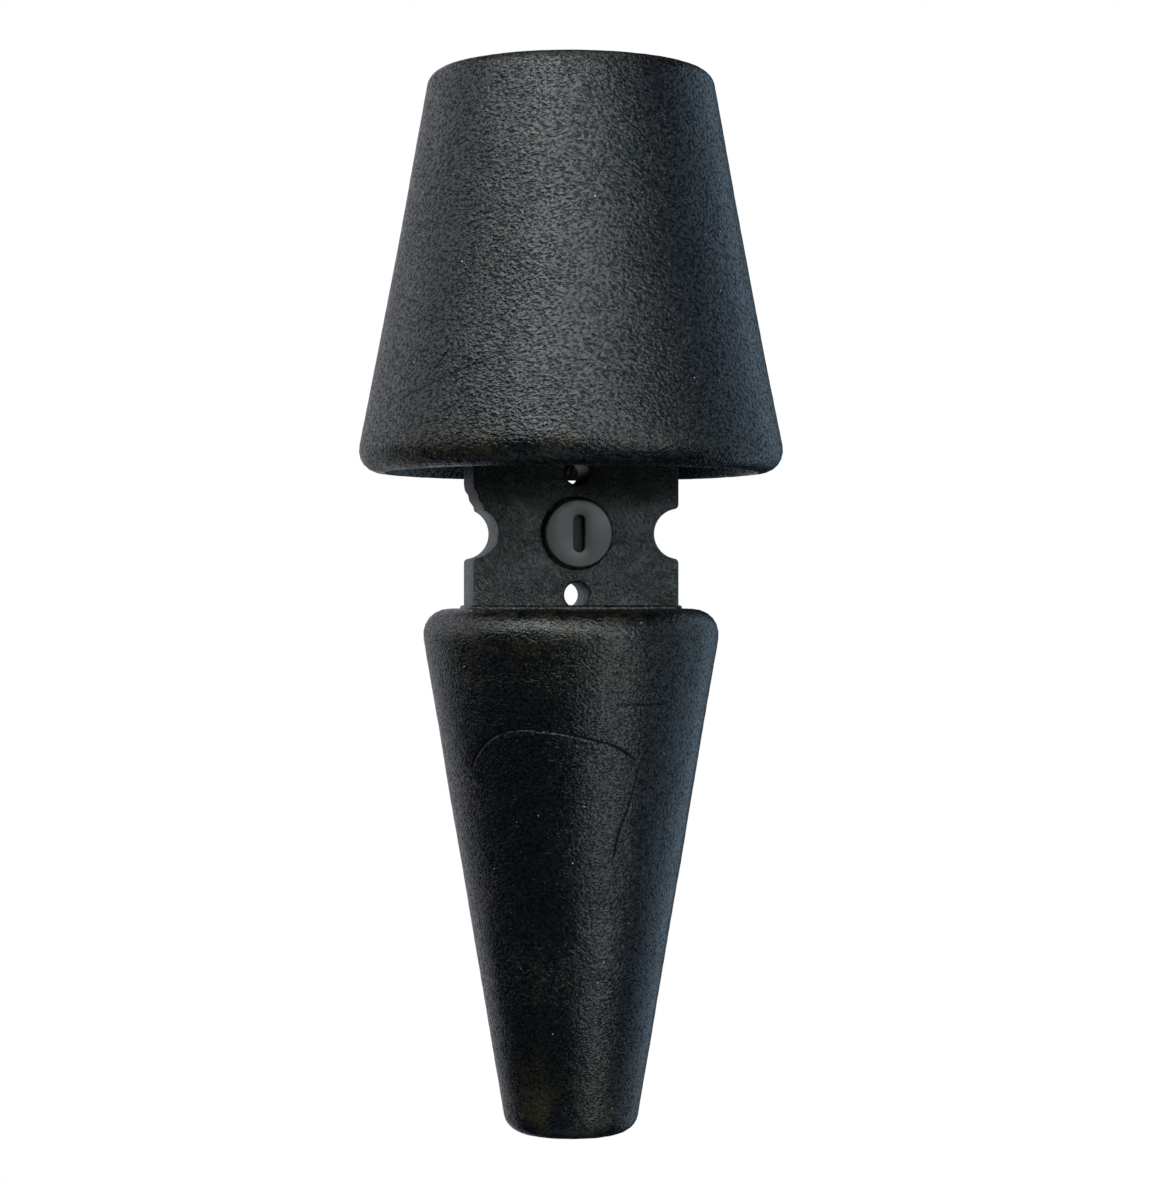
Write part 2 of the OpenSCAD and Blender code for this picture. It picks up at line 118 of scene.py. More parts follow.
class Shader:
    """A material's node tree, built from expressions and one method for every other node."""

    def __init__(self, name: str) -> None:
        """Makes the material and its Principled shader.

        Args:
            name: the material's name.
        """
        self.material = bpy.data.materials.new(name)
        self.material.use_nodes = True
        self.tree = self.material.node_tree
        self.tree.nodes.clear()
        self.out = self.tree.nodes.new("ShaderNodeOutputMaterial")
        self.principled = self.tree.nodes.new("ShaderNodeBsdfPrincipled")
        self.tree.links.new(self.principled.outputs[0], self.out.inputs[0])
        self.place = self.add("ShaderNodeTexCoord", {}, {}, "Object")

    def add(self, kind: str, settings: dict, inputs: dict, output: Union[int, str] = 0) -> Sock:
        """Adds one node.

        Args:
            kind: the node's type.
            settings: its properties, set first.
            inputs: values or sockets by input name or number.
            output: name or number of the output that is returned.

        Returns:
            That output.
        """
        node = self.tree.nodes.new(kind)
        for name, value in settings.items():
            setattr(node, name, value)
        for name, value in inputs.items():
            if isinstance(value, Sock):
                self.tree.links.new(value.socket, node.inputs[name])
            elif value is not None:
                node.inputs[name].default_value = value
        return Sock(self, node.outputs[output])

    def feed(self, **inputs: Union[Sock, float, tuple]) -> None:
        """Sets or links the Principled shader's sockets, named with _ for each space."""
        for name, value in inputs.items():
            socket = self.principled.inputs[name.replace("_", " ")]
            if isinstance(value, Sock):
                self.tree.links.new(value.socket, socket)
            else:
                socket.default_value = value

    def shade(self, hollow: Sock, colour: Colour) -> None:
        """Lays a matte dark in as painted shade: into the hollows of the grain, where no light is thrown
        back, and into any other place that the mask gives.

        Args:
            hollow: 1 where the painted shade is full, 0 where there is none.
            colour: the colour of the painted shade.
        """
        matte = self.add("ShaderNodeBsdfPrincipled", {}, {"Base Color": (*colour, 1.0), "Roughness": 0.9})
        matte.socket.node.inputs["Specular IOR Level"].default_value = 0.0
        lit = Sock(self, self.principled.outputs[0])
        both = self.add("ShaderNodeMixShader", {}, {0: hollow, 1: lit, 2: matte})
        self.tree.links.new(both.socket, self.out.inputs[0])

    def split(self) -> tuple[Sock, Sock, Sock]:
        """The three Object coordinates, in metres."""
        node = self.add("ShaderNodeSeparateXYZ", {}, {0: self.place}).socket.node
        return tuple(Sock(self, out) for out in node.outputs)

    def scaled(self, at: Sock, scale: Sequence[float]) -> Sock:
        """Coordinates scaled along each axis."""
        return self.add("ShaderNodeVectorMath", {"operation": "MULTIPLY"}, {0: at, 1: scale})

    def turned(self, at: Sock, turn: Sequence[float]) -> Sock:
        """Coordinates turned about each axis, in radians."""
        return self.add("ShaderNodeMapping", {"vector_type": "POINT"}, {0: at, "Rotation": turn})

    def streaks(
        self, scale: Sequence[float], turn: Sequence[float] = (0.0, 0.0, 0.0), detail: float = 2.0
    ) -> Sock:
        """Noise drawn out along an axis.

        Args:
            scale: how often it changes along each axis, per metre.
            turn: how the streaks are turned, in radians.
            detail: number of octaves.

        Returns:
            The noise value.
        """
        at = self.scaled(self.turned(self.place, turn), scale)
        return self.add("ShaderNodeTexNoise", {}, {"Vector": at, "Scale": 1.0, "Detail": detail})

    def noise(self, pitch: float, detail: float = 2.0, rough: float = 0.5, at: Sock | None = None) -> Sock:
        """Noise from 0 to 1.

        Args:
            pitch: size of its features in millimetres.
            detail: number of octaves.
            rough: share that each octave keeps.
            at: coordinates, if not the Object ones.

        Returns:
            The noise value.
        """
        inputs = {"Vector": at or self.place, "Scale": 1.0 / (pitch * MM)}
        return self.add("ShaderNodeTexNoise", {}, {**inputs, "Detail": detail, "Roughness": rough})

    def cells(self, pitch: float, output: str = "Distance") -> Sock:
        """Voronoi cells of that pitch in millimetres."""
        inputs = {"Vector": self.place, "Scale": 1.0 / (pitch * MM)}
        return self.add("ShaderNodeTexVoronoi", {"feature": "F1"}, inputs, output)

    def stored(self, name: str) -> Sock:
        """A value stored on the piece's points, or 0 where there is none."""
        return self.add("ShaderNodeAttribute", {"attribute_name": name}, {}, "Fac")

    def ramp(self, value: Sock, low: float, high: float, to: tuple[float, float] = (0.0, 1.0)) -> Sock:
        """A smooth step of value between low and high.

        Args:
            value: what the step depends on.
            low: where it starts.
            high: where it ends.
            to: its results at both ends.

        Returns:
            The step.
        """
        settings = {"interpolation_type": "SMOOTHSTEP"}
        inputs = {"Value": value, "From Min": low, "From Max": high, "To Min": to[0], "To Max": to[1]}
        return self.add("ShaderNodeMapRange", settings, inputs)

    def warp(self, pitch: float, reach: float) -> Sock:
        """Object coordinates pushed about by noise.

        Args:
            pitch: size of the noise's features in millimetres.
            reach: how far it pushes, in millimetres.

        Returns:
            The pushed coordinates.
        """
        inputs = {"Vector": self.place, "Scale": 1.0 / (pitch * MM), "Detail": 1.0}
        push = self.add("ShaderNodeTexNoise", {}, inputs, "Color")
        kind = "ShaderNodeVectorMath"
        centred = self.add(kind, {"operation": "SUBTRACT"}, {0: push, 1: (0.5, 0.5, 0.5)})
        pushed = self.add(kind, {"operation": "SCALE"}, {0: centred, "Scale": 2 * reach * MM})
        return self.add(kind, {"operation": "ADD"}, {0: self.place, 1: pushed})

    def mix(self, factor: Term, low: Union[Sock, Colour], high: Union[Sock, Colour]) -> Sock:
        """A colour between low and high.

        Args:
            factor: 0 for low, 1 for high.
            low: the first colour.
            high: the second colour.

        Returns:
            The colour.
        """
        ends = [c if isinstance(c, Sock) else (*c, 1.0) for c in (low, high)]
        inputs = {0: factor, 6: ends[0], 7: ends[1]}
        return self.add("ShaderNodeMix", {"data_type": "RGBA", "clamp_factor": True}, inputs, 2)

    def bump(self, height: Sock, depth: float, under: Sock | None = None) -> Sock:
        """A bumped normal.

        Args:
            height: height from 0 to 1.
            depth: what 1 stands for, in millimetres.
            under: a bumped normal that this one is laid over.

        Returns:
            The normal.
        """
        return self.add("ShaderNodeBump", {}, {"Height": height, "Distance": depth * MM, "Normal": under})


# ---------------------------------------------------------------- finishes

# Colour of the painted shade that Shader.shade mixes in.
PAINTED_SHADE_DARK: Colour = (0.0015, 0.0015, 0.0016)


def shaded(colour: Colour, share: float) -> Colour:
    """The colour, darker or lighter by a share."""
    return tuple(c * share for c in colour)


@dataclass(frozen=True)
class GrainedRubber:
    """Black moulded rubber with a wrinkled leather grain, handling marks, dried soil, and painted shade in
    the grain's hollows and engraved lines.
    """

    name: str
    base: Colour = (0.0036, 0.0038, 0.0041)
    soil: Colour = (0.033, 0.028, 0.011)
    dust: Colour = (0.42, 0.41, 0.38)
    scratched: Colour = (0.05, 0.05, 0.052)
    painted_crevice_shade: Colour = (0.0005, 0.0005, 0.0005)
    roughness: float = 0.25
    grain_pitch: float = 0.33
    grain_depth: float = 0.160
    hollow: float = 0.64
    soil_low: float = 0.0
    soil_high: float = 1.0
    soil_fade: float = 6.0

    def build(self) -> Material:
        """Makes the material.

        Returns:
            The material.
        """
        s = Shader(self.name)
        _, y, z = s.split()
        patch = s.noise(8.0, 2.0, 0.5)
        wrinkle = self._wrinkles(s)
        strength = s.ramp(patch, 0.30, 0.70, (0.60, 1.0))
        normal = s.bump(s.noise(6.0, 2.0), 0.16)
        normal = s.bump(wrinkle * strength + s.noise(0.15, 2.0, 0.6) * 0.10, self.grain_depth, normal)
        seam = s.ramp(abs(y), 0.05 * MM, 0.16 * MM, (1.0, 0.0))
        normal = s.bump(seam, 0.03, normal)
        scratches = self._scratches(s)
        normal = s.bump(scratches, -0.035, normal)
        groove = s.stored("groove")
        soiled = self._soil(s, z, patch)
        specks = self._specks(s)
        mottled = s.mix(s.noise(2.3, 3.0, 0.6), self.base, shaded(self.base, 1.5))
        # Painted shade: the base colour darkened in the grain's valleys.
        crease_shaded = s.mix(s.ramp(wrinkle, 0.40, 0.66), shaded(self.base, 0.4), mottled)
        colour = s.mix(soiled, crease_shaded, self.soil)
        colour = s.mix(scratches * 0.35, colour, self.scratched)
        # Painted shade: the engraved lines darkened in the base colour.
        colour = s.mix(groove, colour, self.painted_crevice_shade)
        colour = s.mix(specks, colour, self.dust)
        rough = self.roughness + s.noise(1.1, 2.0) * 0.10 + patch * 0.06 + soiled * 0.22
        s.feed(Base_Color=colour, Roughness=rough - 0.08, Normal=normal, IOR=1.5)
        # Painted shade: a matte dark mixed into the grain's hollows and the engraved lines.
        hollow = s.ramp(wrinkle, 0.36, 0.62, (self.hollow, 0.0))
        s.shade(hollow.most(groove * 0.85), PAINTED_SHADE_DARK)
        return s.material

    def _wrinkles(self, s: Shader) -> Sock:
        """Height of the leather grain: small waves that run mostly level, with a few creases.

        Args:
            s: the material's shader.

        Returns:
            The height, from 0 to 1.
        """
        at = s.warp(1.7, 0.22)
        level = s.scaled(at, (0.85, 0.85, 1.15))
        wave = s.noise(self.grain_pitch, 1.0, 0.45, level)
        crease = s.ramp(abs(s.noise(self.grain_pitch * 1.6, 1.0, 0.5, level) - 0.5), 0.0, 0.08)
        return wave * 0.84 + crease * 0.16

    def _scratches(self, s: Shader) -> Sock:
        """Sparse, hair-fine scratches that run mostly across the axis.

        Args:
            s: the material's shader.

        Returns:
            1 in a scratch, 0 elsewhere.
        """
        total: Sock | None = None
        for turn, gap in ((0.5, 0.5), (-0.95, 0.9), (1.25, 1.7)):
            hair = s.streaks((140.0, 140.0, 1500.0), (0.0, turn, gap), 1.0)
            line = s.ramp(abs(hair - 0.5), 0.0, 0.006, (1.0, 0.0))
            where = s.ramp(s.noise(8.0 + gap, 1.0), 0.60, 0.68)
            total = line * where if total is None else total.most(line * where)
        return total

    def _soil(self, s: Shader, z: Sock, patch: Sock) -> Sock:
        """Where dried soil clings: near both ends of the piece, in blotches.

        Args:
            s: the material's shader.
            z: height, in metres.
            patch: a broad noise.

        Returns:
            How much soil there is, from 0 to 1.
        """
        low = s.ramp(z, self.soil_low * MM, (self.soil_low + self.soil_fade) * MM, (1.0, 0.0))
        high = s.ramp(z, (self.soil_high - self.soil_fade) * MM, self.soil_high * MM)
        blotch = s.ramp(s.noise(3.4, 5.0, 0.68), 0.40, 0.78)
        faint = s.ramp(patch, 0.50, 0.75) * 0.30
        return low.most(high).most(faint) * blotch

    @staticmethod
    def _specks(s: Shader) -> Sock:
        """Pale dust specks, a few in each square centimetre.

        Args:
            s: the material's shader.

        Returns:
            1 in a speck, 0 elsewhere.
        """
        near = s.ramp(s.cells(1.5), 0.035, 0.065, (1.0, 0.0))
        few = s.ramp(s.cells(1.5, output="Color"), 0.62, 0.64)
        return near * few * 0.8


@dataclass(frozen=True)
class FlowPlastic:
    """Hard black plastic whose skin shows the flow of the melt, with painted shade in the hollows of its
    relief and painted shadow of the bell on the plate's top.
    """

    name: str
    base: Colour = (0.022, 0.023, 0.021)
    roughness: float = 0.30
    depth: float = 0.250
    # Heights in millimetres where the painted shadow of the bell starts and reaches full strength on the
    # plate's top.
    bell_shadow_low: float = 60.4
    bell_shadow_high: float = 63.8

    def build(self) -> Material:
        """Makes the material.

        Returns:
            The material.
        """
        s = Shader(self.name)
        flow = s.scaled(s.turned(s.warp(2.6, 0.7), (0.0, 0.7, 0.0)), (1.35, 1.0, 0.75))
        vein = s.ramp(abs(s.noise(0.55, 1.0, 0.5, flow) - 0.5), 0.0, 0.07)
        relief = s.noise(0.30, 2.0, 0.6, flow) * 0.88 + vein * 0.12
        patch = s.noise(5.0, 2.0)
        strength = s.ramp(patch, 0.36, 0.60, (0.60, 1.0))
        normal = s.bump(s.noise(4.0, 1.0), 0.12)
        normal = s.bump(relief * strength, self.depth, normal)
        normal = s.bump(s.noise(0.12, 2.0), 0.004, normal)
        cloudy = s.mix(s.noise(1.6, 3.0, 0.6), self.base, shaded(self.base, 1.9))
        # Painted shade: the relief's hollows darkened in the base colour.
        colour = s.mix(s.ramp(relief, 0.38, 0.66), shaded(self.base, 0.5), cloudy)
        rough = self.roughness + s.noise(0.9, 3.0) * 0.16 - 0.06
        s.feed(Base_Color=colour, Roughness=rough, Normal=normal, IOR=1.5)
        # Painted shadow: a matte dark that ramps up towards the plate's top under the bell, with painted
        # shade in the relief's hollows.
        bell_shadow = s.ramp(s.split()[2], self.bell_shadow_low * MM, self.bell_shadow_high * MM, (0.0, 0.62))
        s.shade(bell_shadow.most(s.ramp(relief, 0.34, 0.72, (0.36, 0.0))), PAINTED_SHADE_DARK)
        return s.material


class Polish(Enum):
    """How a hard plastic piece came out of its mould."""

    SATIN = "satin"
    SPARK = "spark"
    GLOSS = "gloss"


@dataclass(frozen=True)
class MouldedPlastic:
    """Hard plastic with the skin of a satin, spark-eroded or polished mould."""

    name: str
    base: Colour
    polish: Polish
    see_through: float = 0.0

    def build(self) -> Material:
        """Makes the material.

        Returns:
            The material.
        """
        s = Shader(self.name)
        rough, pitch, depth = {
            Polish.SATIN: (0.34, 0.30, 0.006),
            Polish.SPARK: (0.50, 0.16, 0.012),
            Polish.GLOSS: (0.18, 0.60, 0.003),
        }[self.polish]
        skin = s.noise(pitch, 3.0, 0.6)
        drag = s.streaks((300.0, 300.0, 2600.0))
        cloud = s.noise(3.0, 2.0)
        normal = s.bump(s.noise(3.5, 1.0), 0.05)
        normal = s.bump(skin + drag * 0.5, depth, normal)
        streak = s.streaks((900.0, 900.0, 260.0))
        shade = s.ramp(cloud * 0.5 + streak * 0.5, 0.36, 0.64)
        colour = s.mix(shade, shaded(self.base, 0.72), shaded(self.base, 1.28))
        # Painted shade: the base colour darkened where the groove attribute marks a recess, the floor of the
        # plug's driver slot, which is also made rougher.
        recess_shade = s.stored("groove")
        colour = s.mix(recess_shade, colour, (0.004, 0.004, 0.0035))
        rough = rough + cloud * 0.12 + drag * 0.08 + recess_shade * 0.3 - 0.08
        s.feed(Base_Color=colour, Roughness=rough, Normal=normal, IOR=1.48)
        s.feed(Subsurface_Weight=self.see_through, Subsurface_Scale=0.6 * MM)
        return s.material


@dataclass(frozen=True)
class SealRubber:
    """Plain matte rubber of the O-rings and the diaphragm."""

    name: str
    base: Colour = (0.010, 0.010, 0.011)
    roughness: float = 0.55

    def build(self) -> Material:
        """Makes the material.

        Returns:
            The material.
        """
        s = Shader(self.name)
        bloom = s.noise(1.2, 3.0, 0.6)
        normal = s.bump(s.noise(0.14, 3.0, 0.6), 0.008)
        colour = s.mix(bloom, self.base, tuple(min(1.0, c * 1.35 + 0.004) for c in self.base))
        s.feed(Base_Color=colour, Roughness=self.roughness + bloom * 0.16, Normal=normal, IOR=1.42)
        return s.material


@dataclass(frozen=True)
class TurnedSteel:
    """Stainless steel with the fine rings and draw marks of small hardware."""

    name: str
    base: Colour = (0.56, 0.57, 0.58)

    def build(self) -> Material:
        """Makes the material.

        Returns:
            The material.
        """
        s = Shader(self.name)
        rings = s.streaks((900.0, 9000.0, 900.0))
        tarnish = s.noise(1.4, 3.0, 0.6)
        normal = s.bump(rings, 0.004)
        colour = s.mix(tarnish, shaded(self.base, 0.82), self.base)
        s.feed(Base_Color=colour, Metallic=1.0, Roughness=0.24 + rings * 0.14 + tarnish * 0.10, Normal=normal)
        return s.material


# ---------------------------------------------------------------- forms


@dataclass(frozen=True)
class Corner:
    """A corner of a turned outline: radius and height from the axis, and its rounding."""

    r: float
    z: float
    rounding: float = 0.0


@dataclass(frozen=True)
class Groove:
    """A fine line in a turned surface: a knit line, a crease or a scratch."""

    points: tuple[tuple[float, float], ...]
    width: float = 0.14
    depth: float = 0.06
    fade: float = 2.0
    spacing: float = 0.06

    def spots(self) -> list[tuple[Vector, float, float]]:
        """Closely spaced places on the smooth line, each with its width and depth.

        Returns:
            The places.
        """
        ends = [Vector((*p, 0.0)) for p in self.points]
        ends = [2 * ends[0] - ends[1], *ends, 2 * ends[-1] - ends[-2]]
        smooth: list[Vector] = []
        for a, b, c, d in zip(ends, ends[1:], ends[2:], ends[3:]):
            steps = max(2, int((c - b).length / self.spacing))
            for i in range(steps):
                t = i / steps
                square, cube = 2 * a - 5 * b + 4 * c - d, 3 * b - a - 3 * c + d
                smooth.append(0.5 * (2 * b + (c - a) * t + square * t**2 + cube * t**3))
        share = self.spacing / self.fade
        last = len(smooth) - 1
        return [
            (place, self.width, self.depth * min(1.0, (i + 1) * share, (last - i + 1) * share))
            for i, place in enumerate(smooth)
        ]


@dataclass(frozen=True)
class Gate:
    """The sunk mark with a nub that the mould's sprue leaves on the axis."""

    radius: float
    depth: float
    nub_r: float
    foot: float

    def corners(self, level: float, inward: float) -> list[Corner]:
        """Its outline, from the axis out.

        Args:
            level: height of the face that it is sunk in.
            inward: 1 where the piece lies above that face, -1 where it lies below.

        Returns:
            The corners.
        """
        nub, bed = level + inward * self.depth / 3, level + inward * self.depth
        return [
            Corner(0.0, nub),
            Corner(self.nub_r, nub, 0.08),
            Corner(self.nub_r, bed, 0.08),
            Corner(self.radius, bed, self.foot),
            Corner(self.radius + 0.3, level, 0.15),
        ]


def put(name: str, data: bpy.types.ID) -> Piece:
    """Makes an object and puts it in the scene.

    Args:
        name: its name.
        data: its mesh, camera or light.

    Returns:
        The object.
    """
    made = bpy.data.objects.new(name, data)
    bpy.context.scene.collection.objects.link(made)
    return made


def only(kind: type, made: dict) -> list:
    """The elements of one kind that a bmesh operator made."""
    return [g for g in made["geom"] if isinstance(g, kind)]


class Form:
    """A bmesh in millimetres that becomes one finished piece.

    The mesh is made finer within each of groove_reaches of an engraved line. Nothing moves
    farther than groove_band from a line, or deeper under the outer surface than groove_skin.
    """

    groove_reaches = (0.55, 0.34)
    groove_band = 1.0
    groove_skin = 1.2

    def __init__(self) -> None:
        """Starts an empty form."""
        self.bm = bmesh.new()

    def polyline(self, points: Iterable[Vector], closed: bool = False) -> list[Edge]:
        """Adds a chain of edges through the points.

        Args:
            points: the chain's points.
            closed: True to join its ends.

        Returns:
            The chain's edges.
        """
        verts = [self.bm.verts.new(p) for p in points]
        edges = [self.bm.edges.new(pair) for pair in zip(verts, verts[1:])]
        if closed:
            edges.append(self.bm.edges.new((verts[-1], verts[0])))
        return edges

    def lathe(self, corners: Sequence[Corner], steps: int, pitch: float, segments: int = 6) -> None:
        """Turns an outline about Z.

        Args:
            corners: the outline, from axis to axis.
            steps: faces round the axis.
            pitch: longest edge that the outline keeps.
            segments: edges in each rounded corner.
        """
        points = [Vector((c.r, 0.0, c.z)) for c in corners]
        self.polyline(points)
        self.bm.verts.ensure_lookup_table()
        verts = list(self.bm.verts)
        for i, corner in enumerate(corners):
            if corner.rounding > 0.0:
                before = (points[i - 1] - points[i]).normalized()
                after = (points[i + 1] - points[i]).normalized()
                reach = corner.rounding / math.tan(before.angle(after) / 2)
                self.bevel([verts[i]], reach, segments, "VERTICES")
        for edge in list(self.bm.edges):
            cuts = int(edge.calc_length() / pitch)
            if cuts:
                bmesh.ops.subdivide_edges(self.bm, edges=[edge], cuts=cuts)
        bmesh.ops.spin(
            self.bm,
            geom=list(self.bm.verts) + list(self.bm.edges),
            axis=(0, 0, 1),
            angle=math.tau,
            steps=steps,
            use_merge=True,
        )
        self.close()

    def disc_loop(self, radius: float, segments: int, centre: Vector) -> list[Edge]:
        """Adds a circle of edges that faces -Y.

        Args:
            radius: its radius.
            segments: its edges.
            centre: its centre.

        Returns:
            Its edges.
        """
        place = Matrix.Translation(centre) @ Matrix.Rotation(math.pi / 2, 4, "X")
        made = bmesh.ops.create_circle(self.bm, radius=radius, segments=segments, matrix=place)
        verts = set(made["verts"])
        return [e for e in self.bm.edges if e.verts[0] in verts and e.verts[1] in verts]

    def fill(self, edges: Sequence[Edge]) -> list[Face]:
        """Fills the region between closed loops of edges."""
        made = bmesh.ops.triangle_fill(self.bm, use_beauty=True, edges=edges, normal=FRONT)
        return only(Face, made)

    def bevel(self, geom: Sequence, offset: float, segments: int, kind: str = "EDGES") -> None:
        """Rounds edges, or the corners of an outline.

        Args:
            geom: the edges or corners.
            offset: width of the rounding on each side.
            segments: steps in it.
            kind: EDGES or VERTICES.
        """
        bmesh.ops.bevel(
            self.bm,
            geom=geom,
            offset=offset,
            offset_type="OFFSET",
            segments=segments,
            profile=0.5,
            affect=kind,
            material=-1,
        )

    def extrude(self, faces: Sequence[Face], depth: float) -> None:
        """Extrudes faces along Y by a depth in millimetres.

        Args:
            faces: the faces.
            depth: how far.
        """
        made = bmesh.ops.extrude_face_region(self.bm, geom=faces)
        bmesh.ops.translate(self.bm, verts=only(Vert, made), vec=(0.0, depth, 0.0))

    def fillet_cap(self, faces: list[Face], radius: float, segments: int) -> None:
        """Raises a flat region by radius, with every edge of it rounded.

        Args:
            faces: the region.
            radius: radius of the rounding.
            segments: bands in the rounding.
        """
        quarter = math.pi / 2
        for i in range(segments):
            low, high = quarter * i / segments, quarter * (i + 1) / segments
            bmesh.ops.inset_region(
                self.bm,
                faces=faces,
                thickness=radius * (math.cos(low) - math.cos(high)),
                depth=radius * (math.sin(high) - math.sin(low)),
                use_boundary=True,
                use_even_offset=True,
            )

    def ripple(self, reach: float, pitch: float, seed: float) -> None:
        """Moves the surface in and out a little, as moulded rubber settles.

        Args:
            reach: most that a point moves.
            pitch: size of the ripples.
            seed: offset that makes each piece different.
        """
        self.bm.normal_update()
        offset = Vector((seed, -seed, seed / 2))
        moves = []
        for vert in self.bm.verts:
            swell = noise.noise(vert.co / pitch + offset) - 1.0
            pebble = noise.noise(vert.co * 1.05 + offset) - 1.0
            moves.append((vert, swell * reach + pebble * reach * 0.6))
        for vert, move in moves:
            vert.co += vert.normal * move

    def engrave(self, lines: Sequence["Groove"], radius_at: Callable[[float], float]) -> None:
        """Cuts fine lines into a turned surface, and stores how deep each point lies in them.

        Args:
            lines: the lines, in distance round the surface and height.
            radius_at: the surface's radius at a height.
        """
        spots = [spot for line in lines for spot in line.spots()]
        tree = kdtree.KDTree(len(spots))
        for i, (place, _, _) in enumerate(spots):
            tree.insert(place, i)
        tree.balance()
        low = min(place.y for place, _, _ in spots) - self.groove_band
        high = max(place.y for place, _, _ in spots) + self.groove_band

        def nearest(vert: Vert) -> tuple[float, int]:
            """Distance to the nearest line, and that spot's number.

            Args:
                vert: the point.

            Returns:
                Both, or an endless distance for a point off the outer surface.
            """
            if vert.co.y > 0.0 or not low < vert.co.z < high:
                return math.inf, 0
            turn = math.atan2(vert.co.x, -vert.co.y)
            if math.hypot(vert.co.x, vert.co.y) < radius_at(vert.co.z) - self.groove_skin:
                return math.inf, 0
            _, number, gap = tree.find((turn * radius_at(vert.co.z), vert.co.z, 0.0))
            return gap, number

        for reach in self.groove_reaches:
            close = {v for v in self.bm.verts if nearest(v)[0] < reach}
            edges = [e for e in self.bm.edges if e.verts[0] in close and e.verts[1] in close]
            bmesh.ops.subdivide_edges(self.bm, edges=edges, cuts=1, use_grid_fill=True)
        self.bm.normal_update()
        # The stored depth also darkens the lines in the rubber's finish, as painted shade.
        layer = self.bm.verts.layers.float.new("groove")
        moves = []
        for vert in self.bm.verts:
            gap, number = nearest(vert)
            if gap < self.groove_band:
                _, width, depth = spots[number]
                share = max(0.0, 1.0 - gap / width)
                vert[layer] = min(1.0, share * 1.4) * min(1.0, depth / 0.05)
                moves.append((vert, depth * share * share * (3.0 - 2.0 * share)))
        for vert, move in moves:
            vert.co -= vert.normal * move

    def close(self) -> None:
        """Merges doubles and turns every face outwards."""
        bmesh.ops.remove_doubles(self.bm, verts=list(self.bm.verts), dist=1e-5)
        bmesh.ops.dissolve_degenerate(self.bm, edges=list(self.bm.edges), dist=1e-6)
        bmesh.ops.recalc_face_normals(self.bm, faces=list(self.bm.faces))

    def mesh(self, name: str) -> bpy.types.Mesh:
        """Ends the form as a mesh.

        Args:
            name: the mesh's name.

        Returns:
            The mesh.
        """
        mesh = bpy.data.meshes.new(name)
        self.bm.to_mesh(mesh)
        self.bm.free()
        return mesh

    def finish(self, name: str, body: str, slot: str, material: Material, crease: float = 40.0) -> Piece:
        """Makes the object, in metres, and lets it ride on its body.

        Args:
            name: the piece's name.
            body: the CAD body that it rides on.
            slot: the record's material slot; not used.
            material: its finish.
            crease: least angle in degrees of an edge that stays sharp in shading.

        Returns:
            The object.
        """
        self.bm.normal_update()
        for face in self.bm.faces:
            face.smooth = True
        for edge in self.bm.edges:
            edge.smooth = len(edge.link_faces) != 2 or edge.calc_face_angle() < math.radians(crease)
        bmesh.ops.scale(self.bm, vec=(MM, MM, MM), verts=list(self.bm.verts))
        mesh = self.mesh(name)
        mesh.materials.append(material)
        piece = put(name, mesh)
        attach(piece, body)
        return piece


def node_box(node: str) -> tuple[Vector, Vector]:
    """A CAD node's lowest and highest corner, in millimetres."""
    low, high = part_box(node)
    return Vector(low) / MM, Vector(high) / MM


def arc(centre: Vector, radius: float, start: float, end: float, count: int) -> list[Vector]:
    """Points along an arc in the plane of the plate.

    Args:
        centre: the arc's centre.
        radius: its radius.
        start: angle of its first point, in degrees from +X towards +Z.
        end: angle of its last point.
        count: number of points.

    Returns:
        The points.
    """
    angles = [math.radians(start + (end - start) * i / (count - 1)) for i in range(count)]
    return [centre + Vector((radius * math.cos(a), 0.0, radius * math.sin(a))) for a in angles]


def dress(node: str, material: Material) -> Piece:
    """Gives a CAD node its finish, and returns it.

    Args:
        node: its name.
        material: the finish.

    Returns:
        The node's object.
    """
    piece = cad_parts[node]
    piece.data.materials.clear()
    piece.data.materials.append(material)
    return piece


# ---------------------------------------------------------------- sub-assemblies


@dataclass
class SubAssembly:
    """What every sub-assembly keeps: its pieces, once they are made."""

    pieces: list[Piece] = field(default_factory=list, init=False)


